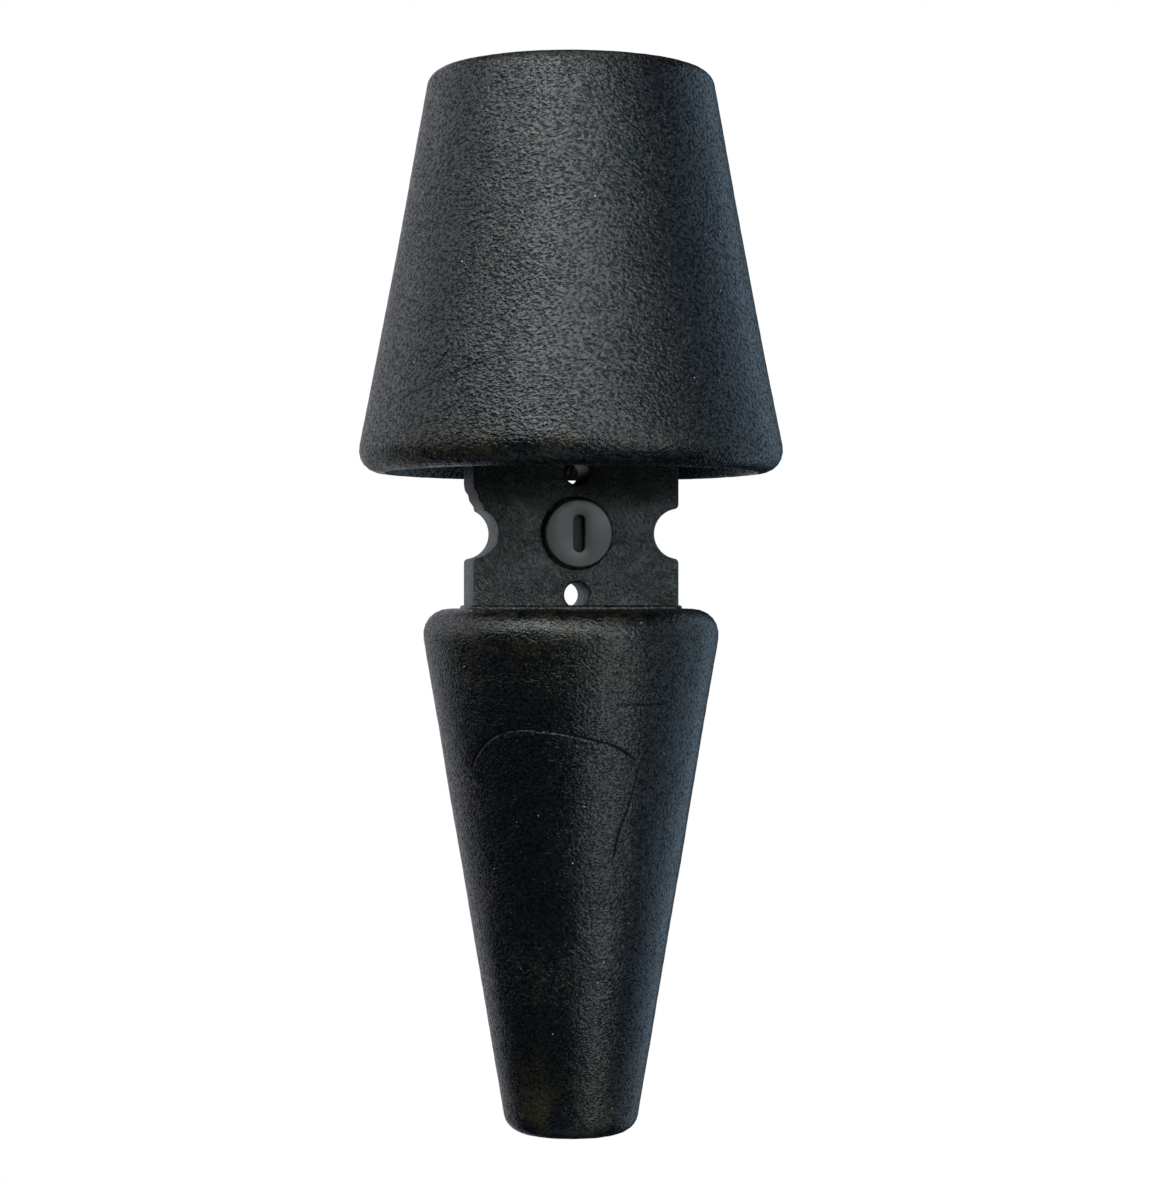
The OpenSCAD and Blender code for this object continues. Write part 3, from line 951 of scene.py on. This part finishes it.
@dataclass
class Bell(SubAssembly):
    """The lift-off rubber bell with its inner ribs and the socket in its roof."""

    rim_r: float = 21.7
    top_r: float = 14.2
    rim_rounding: float = 2.4
    top_rounding: float = 1.6
    wall: float = 3.2
    roof: float = 5.6
    lip_rounding: float = 0.3
    waist: float = 0.14
    swell: float = 0.035
    swell_pitch: float = 9.0
    steps: int = 288
    pitch: float = 0.5
    gate: Gate = Gate(1.5, 0.4, 0.5, 0.15)
    marks: tuple[Groove, ...] = (
        Groove(((-24.0, 72.0), (-18.4, 73.6), (-12.8, 75.4)), 0.11, 0.045, 1.0),
        Groove(((-18.6, 74.6), (-17.4, 75.8), (-16.2, 77.0)), 0.13, 0.06, 0.6),
        Groove(((9.0, 86.0), (10.6, 88.4), (11.2, 90.6)), 0.10, 0.03, 1.0),
    )
    rib_count: int = 6
    rib_t: float = 1.2
    rib_h: float = 5.0
    rib_reach: float = 9.0
    body: str = "bell"
    slot: str = "bell_rubber"

    def build(self) -> None:
        """Makes the shell and the ribs and dresses the hub."""
        low, high = node_box("bell_cap")
        rubber = GrainedRubber("bell_rubber", soil_low=low.z, soil_high=high.z + 4.0).build()
        self.pieces = [self._shell(low.z, high.z, rubber), self._ribs(high.z - self.roof, rubber)]
        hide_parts("bell_cap")
        dress("bell_hub", MouldedPlastic("hub_plastic", (0.014, 0.015, 0.016), Polish.SPARK).build())

    def _shell(self, rim: float, top: float, rubber: Material) -> Piece:
        """The turned wall and roof, with a gate mark on top.

        Args:
            rim: height of the rim.
            top: height of the top.
            rubber: its finish.

        Returns:
            The piece.
        """
        slope = (self.rim_r - self.top_r) / (top - rim)
        under = top - self.roof
        form = Form()
        form.lathe(
            [
                *self.gate.corners(top, -1.0),
                Corner(self.top_r, top, self.top_rounding),
                Corner(self.rim_r, rim, self.rim_rounding),
                Corner(self.rim_r - self.wall, rim, self.lip_rounding),
                Corner(self.top_r - self.wall + slope * self.roof, under, 0.8),
                Corner(0.0, under),
            ],
            self.steps,
            self.pitch,
        )
        for vert in form.bm.verts:
            radius = math.hypot(vert.co.x, vert.co.y)
            share = (vert.co.z - rim) / (top - rim)
            outer = self.rim_r - (self.rim_r - self.top_r) * share
            if radius > outer - 0.5 * self.wall:
                pull = 1.0 - self.waist * math.sin(math.pi * share) / radius
                vert.co.x *= pull
                vert.co.y *= pull
        form.ripple(self.swell, self.swell_pitch, seed=3.7)
        form.engrave(self.marks, lambda z: self.rim_r - (self.rim_r - self.top_r) * (z - rim) / (top - rim))
        return form.finish("bell_shell", self.body, self.slot, rubber)

    def _ribs(self, under: float, rubber: Material) -> Piece:
        """The ribs that brace the hub against the roof.

        Args:
            under: height of the roof's underside.
            rubber: their finish.

        Returns:
            The piece.
        """
        hub_low, hub_high = node_box("bell_hub")
        start = 0.35 * (hub_high.x - hub_low.x) - 0.8
        form = Form()
        outline = [
            Vector((start, 0.0, under + 0.5)),
            Vector((start, 0.0, under - self.rib_h)),
            Vector((start + 2.6, 0.0, under - self.rib_h)),
            Vector((start + self.rib_reach, 0.0, under + 0.5)),
        ]
        face = form.bm.faces.new([form.bm.verts.new(p) for p in outline])
        form.extrude([face], self.rib_t)
        bmesh.ops.translate(form.bm, verts=list(form.bm.verts), vec=(0.0, -self.rib_t / 2, 0.0))
        form.close()
        form.bevel(list(form.bm.edges), 0.25, 2)
        first = list(form.bm.verts) + list(form.bm.edges) + list(form.bm.faces)
        for i in range(1, self.rib_count):
            copy = bmesh.ops.duplicate(form.bm, geom=first)
            turn = Matrix.Rotation(i * math.tau / self.rib_count, 3, "Z")
            bmesh.ops.rotate(form.bm, verts=only(Vert, copy), cent=(0, 0, 0), matrix=turn)
        turn = Matrix.Rotation(math.pi / 2, 3, "Z")
        bmesh.ops.rotate(form.bm, verts=list(form.bm.verts), cent=(0, 0, 0), matrix=turn)
        return form.finish("bell_ribs", self.body, self.slot, rubber)


@dataclass
class Stake(SubAssembly):
    """The tapered rubber stake, with its flow line, and the lip round the plate."""

    tip_r: float = 6.5
    top_r: float = 15.3
    tip_rounding: float = 1.9
    top_rounding: float = 2.7
    gate: Gate = Gate(1.2, 0.35, 0.45, 0.12)
    lip: float = 0.45
    lip_h: float = 0.28
    swell: float = 0.04
    swell_pitch: float = 7.0
    steps: int = 240
    pitch: float = 0.42
    body: str = "root"
    slot: str = "stake_rubber"
    marks: tuple[Groove, ...] = (
        Groove(
            ((-14.0, 36.2), (-12.6, 38.3), (-10.6, 39.9), (-8.0, 40.6))
            + ((-4.4, 40.4), (-1.0, 39.7), (2.0, 38.8), (4.3, 37.4)),
            width=0.17,
            depth=0.09,
        ),
        Groove(((4.4, 37.5), (4.0, 35.4), (3.3, 33.0), (2.4, 30.6), (1.8, 27.6)), 0.15, 0.08, 1.2),
        Groove(((4.5, 37.5), (5.3, 38.8), (5.9, 39.9)), 0.11, 0.05, 0.8),
        Groove(((1.2, 42.9), (4.0, 43.0), (7.6, 43.0)), 0.11, 0.05, 0.8),
        Groove(((-4.6, 39.1), (-1.8, 39.3), (0.9, 39.2)), 0.11, 0.035, 0.8),
        Groove(((6.0, 39.5), (7.4, 39.4)), 0.11, 0.035, 0.4),
        Groove(((7.9, 47.0), (8.0, 44.4), (7.9, 42.4)), 0.11, 0.035, 1.0),
    )

    def build(self) -> None:
        """Makes the stake and its lip."""
        low, high = node_box("stake_cone")
        rubber = GrainedRubber(
            "stake_rubber",
            roughness=0.23,
            grain_pitch=0.27,
            grain_depth=0.095,
            hollow=0.62,
            soil_low=low.z,
            soil_high=high.z + 1.0,
            soil_fade=12.0,
        ).build()
        self.pieces = [self._cone(low.z, high.z, rubber), self._lip(high.z, rubber)]
        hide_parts("stake_cone")

    def _cone(self, tip: float, top: float, rubber: Material) -> Piece:
        """The turned cone, with a gate mark in its tip.

        Args:
            tip: height of the tip.
            top: height of the top.
            rubber: its finish.

        Returns:
            The piece.
        """
        form = Form()
        form.lathe(
            [
                *self.gate.corners(tip, 1.0),
                Corner(self.tip_r, tip, self.tip_rounding),
                Corner(self.top_r, top, self.top_rounding),
                Corner(0.0, top),
            ],
            self.steps,
            self.pitch,
        )
        form.ripple(self.swell, self.swell_pitch, seed=11.3)
        form.engrave(self.marks, lambda z: self.tip_r + (self.top_r - self.tip_r) * (z - tip) / (top - tip))
        return form.finish("stake_skin", self.body, self.slot, rubber)

    def _lip(self, top: float, rubber: Material) -> Piece:
        """The thin bead of rubber where the plate leaves the stake.

        Args:
            top: height of the stake's top.
            rubber: its finish.

        Returns:
            The piece.
        """
        low, high = node_box("core_frame")
        size = (high.x - low.x + 2 * self.lip, high.y - low.y + 2 * self.lip, 4 * self.lip_h)
        place = Matrix.Translation((0, 0, top - self.lip_h)) @ Matrix.Diagonal((*size, 1.0))
        form = Form()
        bmesh.ops.create_cube(form.bm, size=1.0, matrix=place)
        upright = [e for e in form.bm.edges if abs(e.verts[0].co.z - e.verts[1].co.z) > self.lip_h]
        form.bevel(upright, 1.2, 6)
        upper = [e for e in form.bm.edges if min(v.co.z for v in e.verts) > top]
        form.bevel(upper, 0.25, 3)
        form.close()
        return form.finish("stake_lip", self.body, self.slot, rubber)


@dataclass
class NeckFrame(SubAssembly):
    """The hard plate between stake and bell, with its notches, holes and plug seat."""

    notch_r: float = 2.5
    tie_r: float = 1.25
    tie_offset: float = 6.1
    bore_r: float = 2.3
    seat_r: float = 3.5
    seat_depth: float = 0.6
    screw_x: float = 6.8
    screw_drop: float = 3.4
    screw_r: float = 0.9
    outlet_r: float = 0.6
    edge_rounding: float = 0.30
    corner_rounding: float = 0.45
    chip: tuple[tuple[float, float], ...] = ((0.0, 4.9), (0.12, 4.3), (0.42, 3.9), (0.55, 3.3), (0.95, 2.75))
    bore_segments: int = 64
    hole_segments: int = 40
    drill_x: float = 6.5
    drill_l: float = 5.0
    foot_z: float = 8.0
    full_width_z: float = 41.07
    foot_half: float = 4.31
    body: str = "root"
    slot: str = "frame_plastic"

    def build(self) -> None:
        """Makes the plate."""
        low, high = node_box("core_frame")
        plug_low, plug_high = node_box("flow_plug")
        plug_z = (plug_low.z + plug_high.z) / 2
        plastic = FlowPlastic("frame_plastic").build()
        plate = self._plate(high.x, (high.y - low.y) / 2, high.z, plug_z, plastic)
        self._drill_outlet(plate, plug_z)
        self.pieces = [plate]
        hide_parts("core_frame")

    def _side(self, half: float, seat_z: float, plug_z: float, chipped: bool) -> list[Vector]:
        """One edge of the plate, from the top down to the foot, on the +X side.

        Args:
            half: half the plate's width.
            seat_z: height of the plate's top.
            plug_z: height of the notches.
            chipped: True where the notch's upper corner is broken away.

        Returns:
            The edge's points.
        """
        centre = Vector((half, 0.0, plug_z))
        lean = self.corner_rounding
        shut = math.degrees(math.asin(lean / (self.notch_r + lean)))
        reach = math.sqrt((self.notch_r + lean) ** 2 - lean**2)
        upper = arc(Vector((half - lean, 0.0, plug_z + reach)), lean, 0.0, -90.0 - shut * 0.9, 5)
        lower = arc(Vector((half - lean, 0.0, plug_z - reach)), lean, 90.0 + shut * 0.9, 0.0, 5)
        if chipped:
            upper = [Vector((half - inward, 0.0, plug_z + rise)) for inward, rise in self.chip]
        notch = arc(centre, self.notch_r, 102.0 if not chipped else 115.0, 258.0, 26)
        tail = [
            Vector((half, 0.0, self.full_width_z)),
            Vector((self.foot_half + 0.5, 0.0, self.foot_z)),
            Vector((self.foot_half, 0.0, self.foot_z)),
        ]
        return [Vector((half, 0.0, seat_z)), *upper, *notch, *lower, *tail]

    def _plate(self, half: float, thick: float, seat_z: float, plug_z: float, plastic: Material) -> Piece:
        """The plate with every through hole and the seat of the plug's head.

        Args:
            half: half its width.
            thick: half its thickness.
            seat_z: height of its top.
            plug_z: height of the plug's axis.
            plastic: its finish.

        Returns:
            The piece.
        """
        form = Form()
        right = self._side(half, seat_z, plug_z, False)
        left = [Vector((-p.x, p.y, p.z)) for p in self._side(half, seat_z, plug_z, True)]
        core = thick - self.edge_rounding
        edges = form.polyline([p + FRONT * -core for p in right + left[::-1]], closed=True)
        seat = form.disc_loop(self.seat_r, self.bore_segments, Vector((0.0, core, plug_z)))
        edges += seat
        holes = [(0.0, plug_z + side * self.tie_offset, self.tie_r) for side in (-1, 1)]
        holes += [(side * self.screw_x, seat_z - self.screw_drop, self.screw_r) for side in (-1, 1)]
        for x, z, radius in holes:
            edges += form.disc_loop(radius, self.hole_segments, Vector((x, core, z)))
        bore = form.disc_loop(self.bore_r, self.bore_segments, Vector((0.0, core, plug_z)))
        flat = form.fill(edges)
        ring = bmesh.ops.bridge_loops(form.bm, edges=seat + bore)["faces"]
        form.extrude(flat + ring, -2 * core)
        bmesh.ops.recalc_face_normals(form.bm, faces=list(form.bm.faces))
        form.bm.normal_update()
        self._sink_seat(form, plug_z, core)
        form.bm.normal_update()
        for facing in (-1.0, 1.0):
            flats = [f for f in form.bm.faces if f.normal.y * facing > 0.99]
            caps = [f for f in flats if self._on_cap(f, core * facing, plug_z)]
            form.fillet_cap(caps, self.edge_rounding, 3)
            form.bm.normal_update()
        form.close()
        return form.finish("neck_plate", self.body, self.slot, plastic, crease=28.0)

    def _on_cap(self, face: Face, level: float, plug_z: float) -> bool:
        """True for a face of the plate's broad sides, without the seat in the front one."""
        on_level = abs(face.calc_center_median().y - level) < 1e-3
        return on_level and not (level < 0 and self._in_seat(face, plug_z))

    def _in_seat(self, face: Face, plug_z: float) -> bool:
        """True for a face within the seat of the plug's head."""
        spot = face.calc_center_median()
        return math.hypot(spot.x, spot.z - plug_z) < self.seat_r * 0.98

    def _sink_seat(self, form: Form, plug_z: float, core: float) -> None:
        """Pushes the ring under the plug's head into the front face.

        Args:
            form: the plate's form.
            plug_z: height of the plug's axis.
            core: half the thickness between the rounded edges.
        """
        ring = [
            f
            for f in form.bm.faces
            if f.normal.y < -0.99 and f.calc_center_median().y < 0 and self._in_seat(f, plug_z)
        ]
        form.extrude(ring, self.seat_depth - self.edge_rounding)
        old = [f for f in ring if f.is_valid]
        bmesh.ops.delete(form.bm, geom=old, context="FACES_ONLY")

    def _drill_outlet(self, plate: Piece, plug_z: float) -> None:
        """Cuts the outlet into the floor of the right notch.

        Args:
            plate: the plate.
            plug_z: height of the outlet.
        """
        cutter = Form()
        place = Matrix.Translation((self.drill_x, 0.0, plug_z)) @ Matrix.Rotation(math.pi / 2, 4, "Y")
        bmesh.ops.create_cone(
            cutter.bm,
            cap_ends=True,
            segments=32,
            radius1=self.outlet_r,
            radius2=self.outlet_r,
            depth=self.drill_l,
            matrix=place,
        )
        bmesh.ops.scale(cutter.bm, vec=(MM, MM, MM), verts=list(cutter.bm.verts))
        drill = put("outlet_drill", cutter.mesh("outlet_drill"))
        cut = plate.modifiers.new("outlet", "BOOLEAN")
        cut.object, cut.operation, cut.solver = drill, "DIFFERENCE", "EXACT"
        graph = bpy.context.evaluated_depsgraph_get()
        cut_mesh = bpy.data.meshes.new_from_object(plate.evaluated_get(graph))
        plate.modifiers.clear()
        plate.data = cut_mesh
        bpy.data.objects.remove(drill)


@dataclass
class FlowPlug(SubAssembly):
    """The quarter-turn plug whose slotted head shows in the plate."""

    head_r: float = 3.35
    head_h: float = 1.6
    shank_r: float = 2.25
    slot_l: float = 3.6
    slot_w: float = 1.1
    slot_d: float = 0.8
    edge_rounding: float = 0.14
    tail_chamfer: float = 0.3
    tail_taper: float = 0.86
    body: str = "plug"
    slot: str = "plug_plastic"

    def build(self) -> None:
        """Makes the plug and dresses its seals and clip."""
        low, high = node_box("flow_plug")
        plastic = MouldedPlastic("plug_plastic", (0.036, 0.039, 0.036), Polish.SATIN).build()
        self.pieces = [self._plug(low.y, high.y, (low.z + high.z) / 2, plastic)]
        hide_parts("flow_plug")
        dress("plug_seals", SealRubber("seal_rubber").build())
        dress("plug_clip", TurnedSteel("clip_steel").build())

    def _plug(self, face_y: float, tail_y: float, axis_z: float, plastic: Material) -> Piece:
        """Head, driver slot and shank in one closed form.

        Args:
            face_y: where the head's face lies.
            tail_y: where the shank ends.
            axis_z: height of the plug's axis.
            plastic: its finish.

        Returns:
            The piece.
        """
        level = face_y + self.edge_rounding
        centre = Vector((0.0, level, axis_z))
        form = Form()
        rim = form.disc_loop(self.head_r, 72, centre)
        driver = form.disc_loop(self.slot_w / 2, 32, centre)
        for vert in {v for e in driver for v in e.verts}:
            offset = vert.co.z - axis_z
            if abs(offset) > 1e-4:
                vert.co.z += math.copysign((self.slot_l - self.slot_w) / 2, offset)
        face = form.fill(rim + driver)
        self._draw_out(form, driver, (0.0, self.slot_d - self.edge_rounding, 0.0), 1.0, centre, True)
        under = self._draw_out(form, rim, (0.0, self.head_h - self.edge_rounding, 0.0), 1.0, centre, False)
        shoulder = self._draw_out(form, under, (0.0, 0.0, 0.0), self.shank_r / self.head_r, centre, False)
        length = tail_y - face_y - self.head_h
        end = self._draw_out(form, shoulder, (0.0, length - self.tail_chamfer, 0.0), 1.0, centre, False)
        self._draw_out(form, end, (0.0, self.tail_chamfer, 0.0), self.tail_taper, centre, True)
        bmesh.ops.recalc_face_normals(form.bm, faces=list(form.bm.faces))
        form.bm.normal_update()
        form.fillet_cap([f for f in face if f.is_valid], self.edge_rounding, 3)
        form.close()
        # The groove attribute marks the slot's floor, which the plug's finish darkens as painted shade.
        layer = form.bm.verts.layers.float.new("groove")
        for vert in form.bm.verts:
            spread = Vector((vert.co.x, vert.co.z - axis_z))
            in_slot = abs(spread.x) < self.slot_w * 0.51 and abs(spread.y) < self.slot_l * 0.51
            if in_slot and face_y + self.slot_d * 0.5 < vert.co.y < face_y + self.slot_d * 1.2:
                vert[layer] = 1.0
        return form.finish("plug_body", self.body, self.slot, plastic, crease=30.0)

    @staticmethod
    def _draw_out(
        form: Form,
        loop: Sequence[Edge],
        move: tuple[float, float, float],
        grow: float,
        centre: Vector,
        capped: bool,
    ) -> list[Edge]:
        """Extrudes a loop of edges, then moves, grows and may cap its new end.

        Args:
            form: the form that the loop belongs to.
            loop: its edges.
            move: how far the new loop moves.
            grow: how much it grows about the plug's axis.
            centre: a point on that axis.
            capped: True to close it with a face.

        Returns:
            The new loop.
        """
        made = bmesh.ops.extrude_edge_only(form.bm, edges=loop)
        verts = only(Vert, made)
        inside = set(verts)
        edges = [e for e in only(Edge, made) if e.verts[0] in inside and e.verts[1] in inside]
        bmesh.ops.translate(form.bm, verts=verts, vec=move)
        about = Matrix.Translation(-centre)
        bmesh.ops.scale(form.bm, vec=(grow, 1.0, grow), verts=verts, space=about)
        if capped:
            bmesh.ops.holes_fill(form.bm, edges=edges, sides=0)
        return edges


@dataclass
class Cartridge(SubAssembly):
    """The emitter cartridge inside the bell, kept as its CAD solids with real finishes."""

    def build(self) -> None:
        """Dresses every node of the cartridge."""
        shell = MouldedPlastic("cartridge_plastic", (0.022, 0.023, 0.026), Polish.SPARK).build()
        seal = SealRubber("cartridge_seal_rubber").build()
        net = MouldedPlastic("strainer_plastic", (0.60, 0.57, 0.50), Polish.SATIN, 0.2).build()
        finishes = {
            "cartridge_base": shell,
            "cartridge_cover": shell,
            "inlet_strainer": net,
            "labyrinth_disc": MouldedPlastic("labyrinth_plastic", (0.045, 0.15, 0.07), Polish.GLOSS).build(),
            "diaphragm": SealRubber("silicone", (0.52, 0.49, 0.42), 0.42).build(),
            "cover_seal": seal,
            "outlet_seal": seal,
            "grip_ring": seal,
            "saddle_screws": TurnedSteel("screw_steel").build(),
        }
        self.pieces = [dress(node, finish) for node, finish in finishes.items()]


# ---------------------------------------------------------------- studio


@dataclass(frozen=True)
class Softbox:
    """A rectangular area light.

    Its azimuth runs to the right from the camera and its elevation up, in degrees; its distance
    and size are in metres; and its radiance is the brightness of its face, where 1 is white.
    """

    name: str
    azimuth: float
    elevation: float
    distance: float
    size: tuple[float, float]
    radiance: float
    colour: Colour


@dataclass
class Studio:
    """Camera, white surroundings and soft lights."""

    azimuth: float = -12.0
    eye_z: float = 53.9
    distance: float = 280.0
    pan: float = 1.05
    sensor: float = 36.0
    dome_r: float = 3.0
    room_colour: tuple[float, float, float, float] = (0.42, 0.66, 1.0, 1.0)
    room_strength: float = 0.045
    long_side: float = 118.2

    def build(self) -> None:
        """Makes camera, surroundings and lights."""
        self._camera()
        self._surroundings()
        self._lights()

    def _toward(self, azimuth: float, elevation: float) -> Vector:
        """Unit vector from the object at an azimuth from the camera's and an elevation."""
        a, e = math.radians(self.azimuth + azimuth), math.radians(elevation)
        return Vector((math.sin(a) * math.cos(e), -math.cos(a) * math.cos(e), math.sin(e)))

    def _camera(self) -> None:
        """The camera, level with the neck and a little left of the plate's normal."""
        data = bpy.data.cameras.new("camera")
        data.sensor_width = self.sensor
        data.lens = self.sensor * self.distance / self.long_side
        data.clip_start, data.clip_end = 0.01, 20.0
        camera = put("camera", data)
        back = self._toward(0.0, 0.0)
        side = UP.cross(back)
        camera.location = (back * self.distance + side * self.pan + UP * self.eye_z) * MM
        camera.rotation_mode = "QUATERNION"
        camera.rotation_quaternion = (-back).to_track_quat("-Z", "Y")
        bpy.context.scene.camera = camera

    def _surroundings(self) -> None:
        """A white dome that only the camera sees, and a dim cool room for the rest."""
        form = Form()
        bmesh.ops.create_icosphere(form.bm, subdivisions=4, radius=self.dome_r)
        mesh = form.mesh("dome")
        s = Shader("dome_white")
        white, black = (1.0, 1.0, 1.0, 1.0), (0.0, 0.0, 0.0, 1.0)
        s.feed(Base_Color=black, Emission_Color=white, Emission_Strength=1.0, Specular_IOR_Level=0.0)
        mesh.materials.append(s.material)
        dome = put("dome", mesh)
        dome.visible_diffuse = dome.visible_glossy = dome.visible_shadow = False
        dome.visible_transmission = dome.visible_volume_scatter = False
        world = bpy.data.worlds.new("room")
        world.use_nodes = True
        background = world.node_tree.nodes["Background"]
        background.inputs["Color"].default_value = self.room_colour
        background.inputs["Strength"].default_value = self.room_strength
        bpy.context.scene.world = world
        bpy.context.scene.view_settings.view_transform = "Standard"

    def _lights(self) -> None:
        """Softboxes: a broad key above the left, weaker ones round it, and a low one to the right."""
        white, cool, green, lilac = (1.0, 1.0, 1.0), (0.58, 0.80, 1.0), (0.92, 0.99, 1.0), (0.92, 0.94, 1.0)
        for box in (
            Softbox("key_left", -43.0, 43.0, 0.80, (0.65, 0.56), 3.6, green),
            Softbox("key", -2.0, 38.0, 0.80, (0.60, 0.60), 3.6, green),
            Softbox("left", -98.0, 24.0, 0.80, (0.90, 0.80), 0.95, lilac),
            Softbox("upper_right", 38.0, 26.0, 0.80, (0.52, 0.52), 0.85, cool),
            Softbox("low_right", 36.0, -21.0, 0.80, (0.56, 0.30), 2.3, green),
            Softbox("mid_right", 31.0, 10.0, 0.80, (0.50, 0.19), 4.8, green),
            Softbox("right", 80.0, 5.0, 0.90, (0.50, 1.20), 0.34, cool),
            Softbox("back_right", 125.0, 0.0, 0.90, (1.10, 1.30), 0.72, cool),
            Softbox("back_left", -150.0, 0.0, 0.90, (1.10, 1.30), 0.55, lilac),
            Softbox("under", -10.0, -72.0, 0.90, (0.80, 0.80), 0.35, cool),
            Softbox("top", 0.0, 88.0, 1.20, (1.20, 1.20), 0.90, white),
        ):
            self._hang(box)

    def _hang(self, box: Softbox) -> None:
        """Hangs a softbox, aimed at the middle of the object.

        Args:
            box: the softbox.
        """
        data = bpy.data.lights.new(box.name, "AREA")
        data.shape, data.size, data.size_y = "RECTANGLE", *box.size
        data.energy = box.radiance * math.pi * box.size[0] * box.size[1]
        data.color = box.colour
        lamp = put(box.name, data)
        toward = self._toward(box.azimuth, box.elevation)
        lamp.location = toward * box.distance + UP * self.eye_z * MM
        lamp.rotation_mode = "QUATERNION"
        lamp.rotation_quaternion = toward.to_track_quat("Z", "Y")
        lamp.visible_camera = False


def main() -> None:
    """Builds the studio and every sub-assembly, and reports the pieces."""
    logging.basicConfig(level=logging.INFO, format="%(message)s")
    Studio().build()
    for part in (Stake(), NeckFrame(), FlowPlug(), Bell(), Cartridge()):
        part.build()
        for piece in part.pieces:
            log.info("%s: %s, %d faces", type(part).__name__, piece.name, len(piece.data.polygons))


if __name__ == "__main__":
    main()
